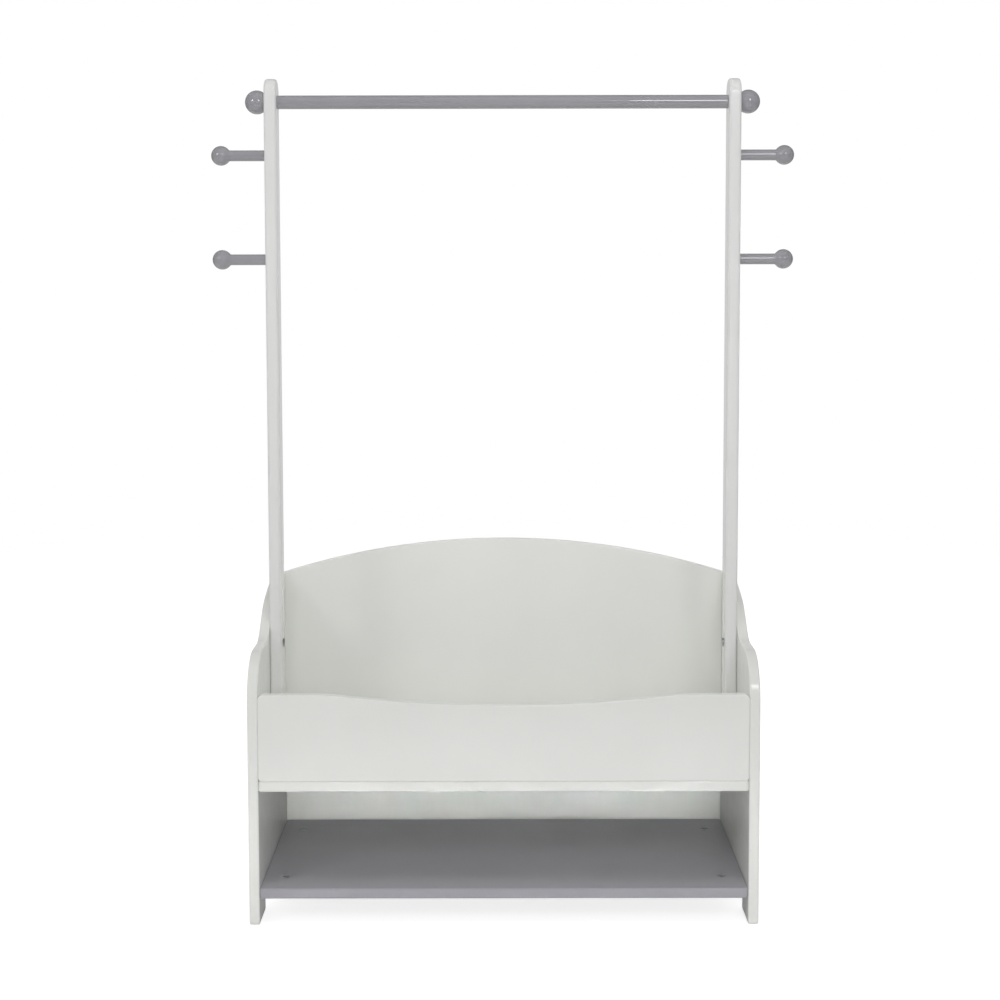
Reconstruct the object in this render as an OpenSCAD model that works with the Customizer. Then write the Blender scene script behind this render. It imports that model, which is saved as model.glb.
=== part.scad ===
// Free-standing dressing-up unit for children. Two swan-necked side panels carry a raised
// storage box with a scooped front and an arched back, and an open shelf under it. Two
// posts stand in the box and hold a hanging rail, its two ball knobs and four pegs.
// Millimetres. +Z is up, the front faces -Y, and the origin is on the floor under the middle.

/* [Body] */
// Width over the two side panels
body_w = 730; // [560:5:1000]
// Depth from the front edge to the back edge
body_d = 350; // [335:5:420]
// Thickness of the painted boards
board_t = 15; // [13:1:20]
// Thickness of the arched back panel
back_t = 12; // [11:1:16]
// Radius of the round-over on every edge of a board
edge_r = 2.5; // [1:0.5:4]
// Radius of a board's corners, seen square on
corner_r = 5; // [3:0.5:8]

/* [Side panels] */
// Height of the level shoulder at the front
shoulder_h = 388; // [370:2:440]
// Radius of the shoulder's front corner
shoulder_r = 68; // [40:2:80]
// Length of the level stretch behind the shoulder's corner
shoulder_l = 44; // [30:2:50]
// Radius of the hollow at the foot of the neck
neck_r = 52; // [30:2:60]
// Steepest slope of the neck, in degrees
neck_slope = 35; // [28:1:38]
// Radius of the crest where the neck starts to level out
crest_r = 120; // [90:5:130]
// Slope at which the crest passes into the long back curve, in degrees
back_slope = 17; // [12:1:18]
// Radius of the long curve that runs level towards the back edge
back_curve_r = 450; // [380:10:460]
// Radius of the corner between the top and the back edge
back_corner_r = 10; // [6:1:14]
// Length of each foot along the floor
foot_l = 70; // [40:5:100]
// Height of the recess between the feet
recess_h = 28; // [16:1:34]
// Radius of the recess's upper corners
recess_r = 12; // [5:1:14]

/* [Shelves and panels] */
// Height of the bottom shelf's top face
shelf_h = 54; // [50:1:90]
// Height of the storage box's floor
floor_h = 210; // [170:5:230]
// Height of the front panel's ends
front_h = 335; // [310:5:350]
// Depth of the scoop in the front panel's top edge
scoop_depth = 15.5; // [8:0.5:25]
// Radius of the front panel's upper corners
front_corner_r = 8; // [5:0.5:12]
// Length of the level stretch at each end of the front panel's top edge
front_level = 75; // [30:5:110]
// Radius of the bend at each end of the scoop
scoop_blend_r = 400; // [200:20:500]
// Rise of the back panel's arch above its ends
arch_rise = 54; // [30:2:90]
// Distance of the front panel's cams below its ends' tops
front_cam_drop = 40; // [30:1:45]
// Height of the dowels in the front panel's ends above the box floor
front_dowel_rise = 30; // [20:1:35]
// Distance between the dowels under the front panel
front_dowel_pitch = 230; // [150:5:240]
// Height of the lowest cams in the back panel above the bottom shelf
low_cam_rise = 36; // [25:1:80]
// Height of the middle cams in the back panel above the box floor
mid_cam_rise = 60; // [30:5:90]
// Distance of the highest cams in the back panel below its ends' tops
high_cam_drop = 40; // [25:1:60]

/* [Posts, rail and pegs] */
// Thickness of a post across the unit
post_t = 18; // [16:1:24]
// Depth of a post from front to back
post_d = 45; // [36:1:55]
// Radius of the round-over along a post's edges
post_edge_r = 4.5; // [2:0.5:6]
// Height of the posts' tops
post_h = 1217; // [1000:5:1400]
// Distance from the unit's front edge to a post's front face
post_setback = 150; // [130:5:170]
// Distance of the rail's centre below the posts' tops
rail_drop = 34; // [28:1:60]
// Diameter of the hanging rail
rail_d = 20; // [16:1:28]
// Diameter of the ball knobs on the ends of the rail
knob_d = 35; // [30:1:45]
// Distance from a knob's centre to its flat, which sits on the post
knob_seat = 12; // [9:0.5:14]
// Diameter of a peg's stem
peg_d = 16; // [12:1:20]
// Diameter of the ball on the end of a peg
peg_ball_d = 29; // [26:1:36]
// Radius of the fillet where a peg's stem meets its ball
peg_fillet_r = 3; // [1:0.5:5]
// Distance from a post to the centre of a peg's ball
peg_reach = 66; // [45:1:90]
// Height of the rail's centre above the upper pegs
peg_drop = 78; // [50:2:120]
// Distance between the upper and the lower pegs
peg_pitch = 153; // [80:5:220]

/* [Cam fittings] */
// Diameter of a cam
cam_d = 12; // [11:0.5:14]
// Depth of a cam's top below the face of its board
cam_recess = 1.5; // [0.2:0.1:1.5]
// Distance from a board's end to the centres of its cams
cam_inset = 32; // [24:1:40]
// Distance from a shelf's front and back edges to the centres of its cams
cam_edge = 56; // [35:1:70]
// Length of a cam below the axis of its bolt
cam_below = 4; // [3.8:0.1:4.4]
// Diameter of a cam bolt's shaft
bolt_shaft_d = 6.6; // [5:0.2:7]
// Diameter of the threaded end of a cam bolt
bolt_thread_d = 6; // [5:0.5:6.5]
// Length of the threaded end of a cam bolt
bolt_thread_l = 10; // [8:0.5:11]
// Diameter of a cam bolt's neck
bolt_neck_d = 3; // [2.4:0.2:3.2]
// Diameter of a cam bolt's head
bolt_head_d = 5; // [4.4:0.2:5.2]

/* [Dowels, bolts and studs] */
// Diameter of the wooden dowels
dowel_d = 8; // [6:0.5:8]
// Length of the wooden dowels
dowel_l = 30; // [25:1:35]
// Length of a dowel in the face of the board it enters
dowel_seat = 9.5; // [8:0.5:10.5]
// Distance from a shelf's cams to the dowels beside them
dowel_offset = 45; // [25:1:50]
// Diameter of the bolts that hold the posts
post_bolt_d = 6; // [5:0.5:7]
// Diameter of the head of a post bolt
post_bolt_head_d = 14; // [12:0.5:17]
// Thickness of the head of a post bolt
post_bolt_head_t = 2; // [1.5:0.1:2.5]
// Distance of the upper post bolt below the shoulder's height
post_bolt_drop = 12; // [10:1:25]
// Height of the lower post bolt above the box floor
post_bolt_rise = 41; // [25:1:60]
// Outer diameter of the threaded inserts in the side panels
insert_d = 9; // [8:0.5:11]
// Length of the threaded inserts
insert_l = 10; // [8:0.5:11]
// Diameter of the studs that join the rail to its knobs
rail_stud_d = 6; // [5:0.5:8]
// Length of a rail stud inside the rail
rail_stud_l = 25; // [15:1:35]
// Length of a rail stud inside a knob
knob_stud_l = 14; // [8:1:16]
// Diameter of the studs that hold the pegs
peg_stud_d = 5; // [4:0.5:6]
// Length of a peg stud inside a peg
peg_stud_l = 25; // [15:1:32]
// Length of a peg stud inside a post
post_stud_l = 12; // [8:1:13]
// Clearance around whatever sits in a bore
fit_gap = 0.2; // [0.05:0.05:0.3]
// Room left beyond the end of a dowel, bolt or stud
end_gap = 0.5; // [0.2:0.1:1]

/* [Hidden] */
$fn = 64;
// Steps in a quarter turn of a board's round-over, and degrees in a step of an outline's bend
round_steps = 4;
bend_step = 7;
cut = 1; // how far a cutter runs past a face
slot_lead = 24; // how far a cam's slot runs past its locked place, in degrees
cross_depth = 1; // depth of the cross in a cam's top
white_paint = [0.87, 0.87, 0.86];
grey_paint = [0.55, 0.55, 0.57];
zinc = [0.70, 0.70, 0.71];
beech = [0.80, 0.66, 0.47];

// The unit's own planes
inner_x = body_w / 2 - board_t;
front_y = -body_d / 2;
back_y = body_d / 2;
back_face_y = back_y - back_t;
shelf_mid_h = shelf_h - board_t / 2;
floor_mid_h = floor_h - board_t / 2;
front_mid_y = front_y + board_t / 2;
back_mid_y = back_y - back_t / 2;

// The side panel's swan neck, as centres of bends that meet tangent to one another.
// The straight ramp between hollow and crest takes what depth is left.
neck_x = shoulder_r + shoulder_l;
level_x = body_d - back_corner_r;
crest_run = crest_r * (sin(neck_slope) - sin(back_slope));
ramp_run = level_x - neck_x - neck_r * sin(neck_slope) - crest_run - back_curve_r * sin(back_slope);
crest_rise = crest_r * (cos(back_slope) - cos(neck_slope));
neck_rise = neck_r * (1 - cos(neck_slope)) + ramp_run * tan(neck_slope) + crest_rise;
side_back_h = shoulder_h + neck_rise + back_curve_r * (1 - cos(back_slope));
neck_centre = [neck_x, shoulder_h + neck_r];
back_curve_centre = [level_x, side_back_h - back_curve_r];
crest_turn = 90 + back_slope;
crest_centre = back_curve_centre + (back_curve_r - crest_r) * [cos(crest_turn), sin(crest_turn)];

// The scoop: one long hollow between two bends, tangent to them and to the level ends
scoop_half_w = inner_x - front_level;
scoop_turn = 2 * atan(scoop_depth / scoop_half_w);
scoop_r = scoop_half_w / sin(scoop_turn) - scoop_blend_r;

// The arch: one arc through the back panel's ends and its middle
arch_r = (inner_x * inner_x + arch_rise * arch_rise) / (2 * arch_rise);
arch_turn = asin((inner_x - corner_r) / arch_r);
back_low_h = shelf_h - board_t;

// Posts, rail and pegs
post_mid_y = front_y + post_setback + post_d / 2;
post_in_x = inner_x - post_t;
post_bolt_h = [shoulder_h - post_bolt_drop, floor_h + post_bolt_rise];
rail_h = post_h - rail_drop;
upper_peg_h = rail_h - peg_drop;
lower_peg_h = upper_peg_h - peg_pitch;

// Joints of the boards with the right-hand side panel, as places [y, z] on its inner face
cam_y = [front_y + cam_edge, back_face_y - cam_edge];
dowel_y = [front_y + cam_edge + dowel_offset, back_face_y - cam_edge - dowel_offset];
front_cam_h = front_h - front_cam_drop;
front_dowel_h = floor_h + front_dowel_rise;
front_dowel_x = [-front_dowel_pitch, 0, front_dowel_pitch];
back_cam_h = [shelf_h + low_cam_rise, floor_h + mid_cam_rise, side_back_h - high_cam_drop];
shelf_cams = [for (y = cam_y) [y, shelf_mid_h]];
floor_cams = [for (y = cam_y) [y, floor_mid_h]];
front_cams = [[front_mid_y, front_cam_h]];
back_cams = [for (h = back_cam_h) [back_mid_y, h]];
all_cams = concat(shelf_cams, floor_cams, front_cams, back_cams);
shelf_dowels = [for (y = dowel_y) [y, shelf_mid_h]];
floor_dowels = [for (y = dowel_y) [y, floor_mid_h]];
front_dowels = [[front_mid_y, front_dowel_h]];
all_dowels = concat(shelf_dowels, floor_dowels, front_dowels);

// ---- Outlines ----

// Points along an arc from one angle to another, about bend_step degrees apart
function bend(centre, r, from, to, step = bend_step) =
    let (n = max(2, ceil(abs(to - from) / step)))
    [for (i = [0:n]) centre + r * [cos(from + (to - from) * i / n), sin(from + (to - from) * i / n)]];

// The direction to the left of the way from a to b
function left_of(a, b) =
    let (d = (b - a) / norm(b - a))
    [-d.y, d.x];

// A closed outline, run anticlockwise, drawn in by d with its edges kept parallel
function drawn_in(outline, d) =
    let (n = len(outline))
    [for (i = [0:n - 1])
        let (before = left_of(outline[(i + n - 1) % n], outline[i]))
        let (after = left_of(outline[i], outline[(i + 1) % n]))
        outline[i] + d * (before + after) / (1 + before * after)];

// The same outline without the points where one bend takes over from another
function once_each(outline) =
    let (n = len(outline))
    [for (i = [0:n - 1]) if (norm(outline[(i + 1) % n] - outline[i]) > 0.01) outline[i]];

// A rectangle from low to high with rounded corners
function plate_outline(low, high, r) = concat(
    bend([low.x + r, low.y + r], r, 180, 270, 30),
    bend([high.x - r, low.y + r], r, 270, 360, 30),
    bend([high.x - r, high.y - r], r, 0, 90, 30),
    bend([low.x + r, high.y - r], r, 90, 180, 30));

// The side panel seen from the right: x runs back from the front edge, y runs up
side_outline = once_each(concat(
    bend([foot_l + recess_r, recess_h - recess_r], recess_r, 180, 90, 15),
    bend([body_d - foot_l - recess_r, recess_h - recess_r], recess_r, 90, 0, 15),
    bend([body_d - foot_l + corner_r, corner_r], corner_r, 180, 270, 30),
    bend([body_d - corner_r, corner_r], corner_r, 270, 360, 30),
    bend([level_x, side_back_h - back_corner_r], back_corner_r, 0, 90, 15),
    bend(back_curve_centre, back_curve_r, 92, crest_turn, 3),
    bend(crest_centre, crest_r, crest_turn, 90 + neck_slope, 5),
    bend(neck_centre, neck_r, 270 + neck_slope, 270),
    bend([shoulder_r, shoulder_h - shoulder_r], shoulder_r, 90, 180),
    bend([corner_r, corner_r], corner_r, 180, 270, 30),
    bend([foot_l - corner_r, corner_r], corner_r, 270, 360, 30)));

// The front panel seen from the front
front_outline = once_each(concat(
    bend([-inner_x + corner_r, floor_h + corner_r], corner_r, 180, 270, 30),
    bend([inner_x - corner_r, floor_h + corner_r], corner_r, 270, 360, 30),
    bend([inner_x - front_corner_r, front_h - front_corner_r], front_corner_r, 0, 90, 15),
    bend([scoop_half_w, front_h - scoop_blend_r], scoop_blend_r, 90, 90 + scoop_turn, 1.5),
    bend([0, front_h - scoop_depth + scoop_r], scoop_r, 270 + scoop_turn, 270 - scoop_turn, 1),
    bend([-scoop_half_w, front_h - scoop_blend_r], scoop_blend_r, 90 - scoop_turn, 90, 1.5),
    bend([-inner_x + front_corner_r, front_h - front_corner_r], front_corner_r, 90, 180, 15)));

// The back panel seen from the front: straight sides under one long arch
back_outline = once_each(concat(
    bend([-inner_x + corner_r, back_low_h + corner_r], corner_r, 180, 270, 30),
    bend([inner_x - corner_r, back_low_h + corner_r], corner_r, 270, 360, 30),
    [[inner_x, side_back_h]],
    bend([0, side_back_h + arch_rise - arch_r], arch_r, 90 - arch_turn, 90 + arch_turn, 1.2),
    [[-inner_x, side_back_h]]));

// ---- Shared shapes ----

// A board of the given outline lying on z = 0, with all its edges rounded over
module board(outline, t) {
    n = len(outline);
    quarter = [for (i = [0:round_steps]) edge_r * [1 - sin(90 * i / round_steps),
        1 - cos(90 * i / round_steps)]];
    rings = concat(quarter, [for (i = [round_steps:-1:0]) [quarter[i].x, t - quarter[i].y]]);
    points = [for (ring = rings) for (p = drawn_in(outline, ring.x)) [p.x, p.y, ring.y]];
    last = len(rings) - 1;
    walls = [for (k = [0:last - 1]) for (i = [0:n - 1])
        [k * n + i, (k + 1) * n + i, (k + 1) * n + (i + 1) % n, k * n + (i + 1) % n]];
    under = [for (i = [0:n - 1]) i];
    top = [for (i = [n - 1:-1:0]) last * n + i];
    polyhedron(points, concat([under, top], walls));
}

// Turns a board drawn in depth and height so that it stands with its face towards +X
module stand_sideways() {
    rotate([90, 0, 90]) children();
}

// Turns a board drawn in width and height so that it stands with its back on the plane y
module stand_facing_front(y) {
    translate([0, y, 0]) rotate([90, 0, 0]) children();
}

// Sets a piece that is drawn for the right-hand side on the right, or on the left
module on_side(side) {
    mirror([side < 0 ? 1 : 0, 0, 0]) children();
}

module both_sides() {
    for (side = [-1, 1]) on_side(side) children();
}

// A round bar along +X from x1 to x2, at the place yz = [y, z]
module bar(d, x1, x2, yz) {
    translate([x1, yz.x, yz.y]) rotate([0, 90, 0]) cylinder(d = d, h = x2 - x1);
}

// Half of a 2D shape: what lies on the side of positive x, ready to be turned
module half_of(r) {
    intersection() {
        children();
        translate([0, -r]) square([r, 2 * r]);
    }
}

// ---- Fittings, drawn for the right-hand side ----

// Puts a cam fitting at the place yz with its opening in the face towards the given side
module at_cam(yz, opening) {
    turn = opening == "top" ? [0, 0, 0] : opening == "under" ? [180, 0, 0] : [-90, 0, 0];
    translate([inner_x - cam_inset, yz.x, yz.y]) rotate(turn) children();
}

// A cam whose bolt runs in from +X through the origin: it has a hollow for the bolt's
// head, a slot round its wall for the neck, a way in for the head and a cross on its top
module cam(half_t) {
    top = half_t - cam_recess;
    head_room = bolt_head_d + 2 * fit_gap;
    neck_room = bolt_neck_d + 2 * fit_gap;
    hollow_d = head_room + 2;
    cross_l = cam_d * 2 / 3;
    cross_w = cam_d / 8;
    difference() {
        translate([0, 0, -cam_below]) cylinder(d = cam_d, h = top + cam_below);
        translate([0, 0, -head_room / 2]) cylinder(d = hollow_d, h = head_room);
        rotate([0, 0, -slot_lead]) rotate_extrude(angle = 90 + slot_lead)
            translate([hollow_d / 4, -neck_room / 2]) square([cam_d / 2, neck_room]);
        rotate([0, 90, 90]) cylinder(d = head_room, h = cam_d);
        for (a = [45, 135]) rotate([0, 0, a])
            translate([-cross_l / 2, -cross_w / 2, top - cross_depth])
                cube([cross_l, cross_w, cross_depth + cut]);
    }
}

// The bore for a cam and the bore that its bolt runs in through
module cam_bore(half_t) {
    translate([0, 0, -cam_below])
        cylinder(d = cam_d + 2 * fit_gap, h = half_t + cam_below + cut);
    bar(bolt_shaft_d + 2 * fit_gap, 0, cam_inset + cut, [0, 0]);
}

// A bolt from its head in the cam, by neck and shaft, to its threaded end in the side panel
module cam_bolt(yz) {
    cam_x = inner_x - cam_inset;
    head_l = bolt_head_d / 2;
    shaft_x = cam_x + cam_d / 2 + 2 * fit_gap;
    bar(bolt_head_d, cam_x - head_l / 2, cam_x + head_l / 2, yz);
    bar(bolt_neck_d, cam_x, inner_x, yz);
    bar(bolt_shaft_d, shaft_x, inner_x, yz);
    bar(bolt_thread_d, inner_x - cut, inner_x + bolt_thread_l, yz);
}

// A dowel across the joint of a board's end with the side panel
module dowel(length) {
    chamfer = dowel_d / 8;
    cylinder(d1 = dowel_d - 2 * chamfer, d2 = dowel_d, h = chamfer);
    translate([0, 0, chamfer]) cylinder(d = dowel_d, h = length - 2 * chamfer);
    translate([0, 0, length - chamfer])
        cylinder(d1 = dowel_d, d2 = dowel_d - 2 * chamfer, h = chamfer);
}

// The bore in a board's end for a dowel across its joint with the side panel
module dowel_bore(yz) {
    depth = dowel_l - dowel_seat + end_gap;
    bar(dowel_d + 2 * fit_gap, inner_x - depth, inner_x + cut, yz);
}

// A bar of a post's section lying in the XY plane, exact arcs at its corners
module post_section() {
    square([post_t - 2 * post_edge_r, post_d], center = true);
    square([post_t, post_d - 2 * post_edge_r], center = true);
    for (x = [-1, 1], y = [-1, 1])
        translate([x * (post_t / 2 - post_edge_r), y * (post_d / 2 - post_edge_r)])
            circle(r = post_edge_r);
}

// ---- Boards ----

// The right-hand side panel, bored for its cam bolts, dowels and threaded inserts
module side_panel() {
    difference() {
        translate([inner_x, front_y, 0]) stand_sideways() board(side_outline, board_t);
        for (yz = all_cams)
            bar(bolt_thread_d + 2 * fit_gap, inner_x - cut, inner_x + bolt_thread_l + end_gap, yz);
        for (yz = all_dowels)
            bar(dowel_d + 2 * fit_gap, inner_x - cut, inner_x + dowel_seat + end_gap, yz);
        for (h = post_bolt_h)
            bar(insert_d + 2 * fit_gap, inner_x - cut, inner_x + insert_l + end_gap, [post_mid_y, h]);
    }
}

module shelf_board(top_h) {
    translate([0, 0, top_h - board_t])
        board(plate_outline([-inner_x, front_y], [inner_x, back_face_y], corner_r), board_t);
}

module bottom_shelf() {
    color(grey_paint) difference() {
        shelf_board(shelf_h);
        both_sides() for (yz = shelf_cams) at_cam(yz, "top") cam_bore(board_t / 2);
        both_sides() for (yz = shelf_dowels) dowel_bore(yz);
    }
}

module box_floor() {
    color(white_paint) difference() {
        shelf_board(floor_h);
        both_sides() for (yz = floor_cams) at_cam(yz, "under") cam_bore(board_t / 2);
        both_sides() for (yz = floor_dowels) dowel_bore(yz);
        for (x = front_dowel_x) translate([x, front_mid_y, floor_h - dowel_seat - end_gap])
            cylinder(d = dowel_d + 2 * fit_gap, h = dowel_seat + end_gap + cut);
    }
}

module front_panel() {
    color(white_paint) difference() {
        stand_facing_front(front_y + board_t) board(front_outline, board_t);
        both_sides() for (yz = front_cams) at_cam(yz, "back") cam_bore(board_t / 2);
        both_sides() for (yz = front_dowels) dowel_bore(yz);
        for (x = front_dowel_x) translate([x, front_mid_y, floor_h - cut])
            cylinder(d = dowel_d + 2 * fit_gap, h = dowel_l - dowel_seat + end_gap + cut);
    }
}

module back_panel() {
    color(white_paint) difference() {
        stand_facing_front(back_y) board(back_outline, back_t);
        both_sides() for (yz = back_cams) at_cam(yz, "back") cam_bore(back_t / 2);
    }
}

// ---- Posts, rail and pegs ----

// A flat bar with a half-round top, bored for its two bolts, the rail's stud and two pegs
module post() {
    bend_h = post_h - post_d / 2;
    difference() {
        translate([inner_x - post_t / 2, post_mid_y, 0]) {
            translate([0, 0, floor_h]) linear_extrude(bend_h - floor_h) post_section();
            translate([0, 0, bend_h]) rotate([0, 90, 0]) rotate([0, 0, 90])
                rotate_extrude(angle = 180) half_of(post_d) rotate(90) post_section();
        }
        for (h = post_bolt_h)
            bar(post_bolt_d + 2 * fit_gap, post_in_x - cut, inner_x + cut, [post_mid_y, h]);
        bar(rail_stud_d + 2 * fit_gap, post_in_x - cut, inner_x + cut, [post_mid_y, rail_h]);
        for (h = [upper_peg_h, lower_peg_h])
            bar(peg_stud_d + 2 * fit_gap, inner_x - post_stud_l - end_gap, inner_x + cut,
                [post_mid_y, h]);
    }
}

module hanging_rail() {
    depth = rail_stud_l + end_gap;
    color(grey_paint) difference() {
        bar(rail_d, -post_in_x, post_in_x, [post_mid_y, rail_h]);
        both_sides() bar(rail_stud_d + 2 * fit_gap, post_in_x - depth, post_in_x + cut,
            [post_mid_y, rail_h]);
    }
}

// A ball with a flat that sits on the post's outer face
module rail_knob() {
    translate([inner_x, post_mid_y, rail_h]) rotate([0, 90, 0]) difference() {
        rotate_extrude() intersection() {
            translate([0, knob_seat]) half_of(knob_d) circle(d = knob_d, $fn = 96);
            square(2 * knob_d);
        }
        translate([0, 0, -cut])
            cylinder(d = rail_stud_d + 2 * fit_gap, h = knob_stud_l + end_gap + cut);
    }
}

// A turned peg: a stem, a ball and a small fillet between them, in one revolved profile
module peg(h) {
    stem_r = peg_d / 2;
    ball_r = peg_ball_d / 2;
    fillet_y = stem_r + peg_fillet_r;
    fillet_back = sqrt(pow(ball_r + peg_fillet_r, 2) - fillet_y * fillet_y);
    translate([inner_x, post_mid_y, h]) rotate([0, 90, 0]) difference() {
        rotate_extrude() {
            square([stem_r, peg_reach]);
            translate([0, peg_reach]) half_of(peg_ball_d) circle(d = peg_ball_d, $fn = 96);
            translate([0, peg_reach]) difference() {
                polygon([[0, 0], [0, -fillet_back], [fillet_y, -fillet_back]]);
                translate([fillet_y, -fillet_back]) circle(r = peg_fillet_r);
            }
        }
        translate([0, 0, -cut])
            cylinder(d = peg_stud_d + 2 * fit_gap, h = peg_stud_l + end_gap + cut);
    }
}

// ---- Fasteners ----

module bottom_shelf_cams() {
    color(zinc) both_sides() for (yz = shelf_cams) at_cam(yz, "top") cam(board_t / 2);
}

module box_floor_cams() {
    color(zinc) both_sides() for (yz = floor_cams) at_cam(yz, "under") cam(board_t / 2);
}

module front_panel_cams() {
    color(zinc) both_sides() for (yz = front_cams) at_cam(yz, "back") cam(board_t / 2);
}

module back_panel_cams() {
    color(zinc) both_sides() for (yz = back_cams) at_cam(yz, "back") cam(back_t / 2);
}

module cam_bolts() {
    color(zinc) both_sides() for (yz = all_cams) cam_bolt(yz);
}

module wooden_dowels() {
    color(beech) {
        both_sides() for (yz = all_dowels)
            translate([inner_x + dowel_seat - dowel_l, yz.x, yz.y]) rotate([0, 90, 0])
                dowel(dowel_l);
        for (x = front_dowel_x) translate([x, front_mid_y, floor_h - dowel_seat])
            dowel(dowel_l);
    }
}

// Flat-headed bolts with a socket, through the posts into the inserts
module post_bolts() {
    color(zinc) both_sides() for (h = post_bolt_h) difference() {
        union() {
            bar(post_bolt_d, post_in_x - cut, inner_x + insert_l, [post_mid_y, h]);
            translate([post_in_x, post_mid_y, h]) rotate([0, -90, 0])
                cylinder(d1 = post_bolt_head_d, d2 = post_bolt_head_d - post_bolt_head_t,
                    h = post_bolt_head_t);
        }
        translate([post_in_x - post_bolt_head_t - cut, post_mid_y, h]) rotate([0, 90, 0])
            cylinder(d = post_bolt_d * 0.75, h = post_bolt_head_t + 2 * cut, $fn = 6);
    }
}

// Threaded sleeves in the side panels, which take the post bolts
module post_inserts() {
    color(zinc) both_sides() for (h = post_bolt_h) difference() {
        bar(insert_d, inner_x, inner_x + insert_l, [post_mid_y, h]);
        bar(post_bolt_d + 2 * fit_gap, inner_x - cut, inner_x + insert_l + cut, [post_mid_y, h]);
    }
}

// Double-ended studs from the rail, through the posts, into the knobs
module rail_studs() {
    color(zinc) both_sides()
        bar(rail_stud_d, post_in_x - rail_stud_l, inner_x + knob_stud_l, [post_mid_y, rail_h]);
}

// Double-ended studs from the posts into the pegs
module peg_studs() {
    color(zinc) both_sides() for (h = [upper_peg_h, lower_peg_h])
        bar(peg_stud_d, inner_x - post_stud_l, inner_x + peg_stud_l, [post_mid_y, h]);
}

module side_panel_left() { color(white_paint) on_side(-1) side_panel(); }
module side_panel_right() { color(white_paint) on_side(1) side_panel(); }
module post_left() { color(white_paint) on_side(-1) post(); }
module post_right() { color(white_paint) on_side(1) post(); }
module rail_knob_left() { color(grey_paint) on_side(-1) rail_knob(); }
module rail_knob_right() { color(grey_paint) on_side(1) rail_knob(); }
module upper_peg_left() { color(grey_paint) on_side(-1) peg(upper_peg_h); }
module upper_peg_right() { color(grey_paint) on_side(1) peg(upper_peg_h); }
module lower_peg_left() { color(grey_paint) on_side(-1) peg(lower_peg_h); }
module lower_peg_right() { color(grey_paint) on_side(1) peg(lower_peg_h); }

side_panel_left();
side_panel_right();
box_floor();
bottom_shelf();
front_panel();
back_panel();
post_left();
post_right();
hanging_rail();
rail_knob_left();
rail_knob_right();
upper_peg_left();
upper_peg_right();
lower_peg_left();
lower_peg_right();
bottom_shelf_cams();
box_floor_cams();
front_panel_cams();
back_panel_cams();
cam_bolts();
wooden_dowels();
post_bolts();
post_inserts();
rail_studs();
peg_studs();
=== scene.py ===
# Dressing-up unit for children: the looks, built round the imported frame.
# Lengths in the dictionaries are millimetres, turned to metres where a mesh is made. The stage,
# the lamps and the camera are in metres.
import math

import bpy
import numpy as np
from mathutils import Matrix, Vector
from mathutils.geometry import delaunay_2d_cdt


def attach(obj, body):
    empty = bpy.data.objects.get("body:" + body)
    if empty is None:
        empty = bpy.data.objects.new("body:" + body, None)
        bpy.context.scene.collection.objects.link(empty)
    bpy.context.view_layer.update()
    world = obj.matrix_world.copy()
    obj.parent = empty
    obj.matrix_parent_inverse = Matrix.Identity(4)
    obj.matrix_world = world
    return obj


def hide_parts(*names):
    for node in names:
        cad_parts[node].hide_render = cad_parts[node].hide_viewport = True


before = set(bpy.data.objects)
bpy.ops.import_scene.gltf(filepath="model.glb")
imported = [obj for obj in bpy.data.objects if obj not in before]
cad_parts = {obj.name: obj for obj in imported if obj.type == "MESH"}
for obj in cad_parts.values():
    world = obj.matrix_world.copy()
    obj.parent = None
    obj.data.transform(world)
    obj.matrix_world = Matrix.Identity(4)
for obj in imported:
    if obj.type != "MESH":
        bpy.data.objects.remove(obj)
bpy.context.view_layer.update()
mm = 0.001
sides = ((-1, "left"), (1, "right"))
print("frame loaded:", len(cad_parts), "nodes")


# helpers for the finishes
def toLinear(hexColour):
    # sRGB hex to linear light: the power curve with its straight toe
    channels = [int(hexColour[i:i + 2], 16) / 255 for i in (1, 3, 5)]
    linear = [c / 12.92 if c <= 0.04045 else ((c + 0.055) / 1.055) ** 2.4 for c in channels]
    return (*linear, 1.0)


def addNode(tree, kind, inputs=None, ramp=None, **settings):
    # one node with its settings; an input takes a value or another node's output
    node = tree.nodes.new("ShaderNode" + kind)
    for name, value in settings.items():
        setattr(node, name, value)
    for stop, (place, colour) in zip(node.color_ramp.elements if ramp else (), ramp or ()):
        stop.position = place
        stop.color = colour
    for name, value in (inputs or {}).items():
        if isinstance(value, bpy.types.NodeSocket):
            tree.links.new(value, node.inputs[name])
        else:
            node.inputs[name].default_value = value
    return node


def grey(value):
    return (value, value, value, 1.0)


def newMaterial(name):
    material = bpy.data.materials.new(name)
    material.use_nodes = True
    tree = material.node_tree
    tree.nodes.clear()
    return material, tree


# how wide the patterns' features are, in millimetres, and the factors that draw two of them out
# along X. Orange peel has cells of 1 to 2 mm, drawn a little wider so that it shows at all.
pattern = {"cloud": 140, "rubbed patch": 22, "orange peel": 2.4, "ridge": 1.6, "fleck": 0.7,
           "ridge along": 0.05, "fleck along": 0.12}


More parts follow.
